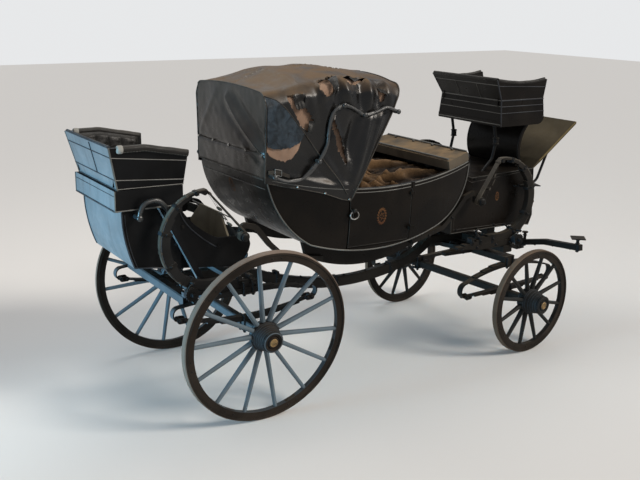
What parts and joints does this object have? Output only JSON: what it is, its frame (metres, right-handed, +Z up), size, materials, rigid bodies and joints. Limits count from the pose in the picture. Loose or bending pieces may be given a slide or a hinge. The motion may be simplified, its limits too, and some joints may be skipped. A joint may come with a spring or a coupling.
{
  "type": "horse drawn carriage",
  "caption": "Four-wheeled town carriage with a boat-shaped body under a torn half hood, hung on leather braces from C springs over a perch, with a box seat and a rumble seat.",
  "frame": {"origin": "on the ground, under the middle of the overall length and width", "axes": "+X forward, towards the splinter bar, +Y to the carriage's left, +Z up"},
  "size_m": [4.082, 1.8136, 2.2918],
  "materials": {
    "body_paint": "worn semi-gloss black paint",
    "gear_paint": "chalky black paint",
    "wheel_paint": "chalky worn paint",
    "tyre_band": "dusty",
    "hood_leather": "cracked and dusty",
    "strap_leather": "dry",
    "seat_leather": "creased",
    "black_leather": "buttoned",
    "board_wood": "worn",
    "iron": "black stoved"
  },
  "bodies": {
    "carriage": {"body_shell": "body_paint", "rockers": "body_paint", "hind_boot": "body_paint", "foot_well": "body_paint", "rumble_seat": "body_paint", "front_boot": "body_paint", "box_seat": "body_paint", "box_riser": "body_paint", "rear_axle": "gear_paint", "rear_springs_lower": "gear_paint", "rear_springs_upper": "gear_paint", "rear_c_springs": "gear_paint", "front_c_springs": "gear_paint", "perch": "gear_paint", "hind_beams": "gear_paint", "hind_side_irons": "gear_paint", "front_side_irons": "gear_paint", "fore_bed_upper": "gear_paint", "hind_standards": "gear_paint", "boot_standards": "gear_paint", "body_loops": "gear_paint", "boot_steps": "gear_paint", "hood": "hood_leather", "rear_braces": "strap_leather", "front_braces": "strap_leather", "seat_cushions": "seat_leather", "crumpled_cover": "seat_leather", "rumble_cushions": "black_leather", "box_cushions": "black_leather", "footboard": "board_wood", "front_board": "board_wood", "seat_boxes": "board_wood", "toe_board": "board_wood", "rear_spring_shackles": "iron", "brace_jacks": "iron", "hood_irons": "iron", "box_stays": "iron", "footboard_irons": "iron", "rumble_stays": "iron"},
    "fore_carriage": {"fore_bed_lower": "gear_paint", "futchells": "gear_paint", "splinter_bar": "gear_paint", "fore_axle": "gear_paint", "fore_springs_lower": "gear_paint", "fore_springs_upper": "gear_paint", "fore_spring_shackles": "iron"},
    "rear_wheel_right": {"rear_wheel_right": "wheel_paint", "rear_tyre_right": "tyre_band"},
    "rear_wheel_left": {"rear_wheel_left": "wheel_paint", "rear_tyre_left": "tyre_band"},
    "fore_wheel_right": {"fore_wheel_right": "wheel_paint", "fore_tyre_right": "tyre_band"},
    "fore_wheel_left": {"fore_wheel_left": "wheel_paint", "fore_tyre_left": "tyre_band"},
    "door_right": {"door_right": "body_paint"},
    "door_left": {"door_left": "body_paint"}
  },
  "joints": [
    {"name": "steering", "type": "hinge", "parent": "carriage", "child": "fore_carriage", "pos_m": [1.21, 0, 0.76], "axis": [0, 0, 1], "range_deg": [-30, 20]},
    {"name": "rear_wheel_right_turn", "type": "hinge", "parent": "carriage", "child": "rear_wheel_right", "pos_m": [-1.155, -0.80529, 0.59772], "axis": [0, 0.9962, 0.0872], "continuous": true},
    {"name": "rear_wheel_left_turn", "type": "hinge", "parent": "carriage", "child": "rear_wheel_left", "pos_m": [-1.155, 0.80529, 0.59772], "axis": [0, 0.9962, -0.0872], "continuous": true},
    {"name": "fore_wheel_right_turn", "type": "hinge", "parent": "fore_carriage", "child": "fore_wheel_right", "pos_m": [1.27729, -0.76914, 0.42285], "axis": [-0.0871, 0.9959, 0.0262], "continuous": true},
    {"name": "fore_wheel_left_turn", "type": "hinge", "parent": "fore_carriage", "child": "fore_wheel_left", "pos_m": [1.14271, 0.76914, 0.42285], "axis": [-0.0871, 0.9959, -0.0262], "continuous": true},
    {"name": "door_right_hinge", "type": "hinge", "parent": "carriage", "child": "door_right", "pos_m": [0.175, -0.613, 1.25], "axis": [0, 0, 1], "range_deg": [0, 80]},
    {"name": "door_left_hinge", "type": "hinge", "parent": "carriage", "child": "door_left", "pos_m": [0.175, 0.613, 1.25], "axis": [0, 0, 1], "range_deg": [-80, 0]}
  ]
}
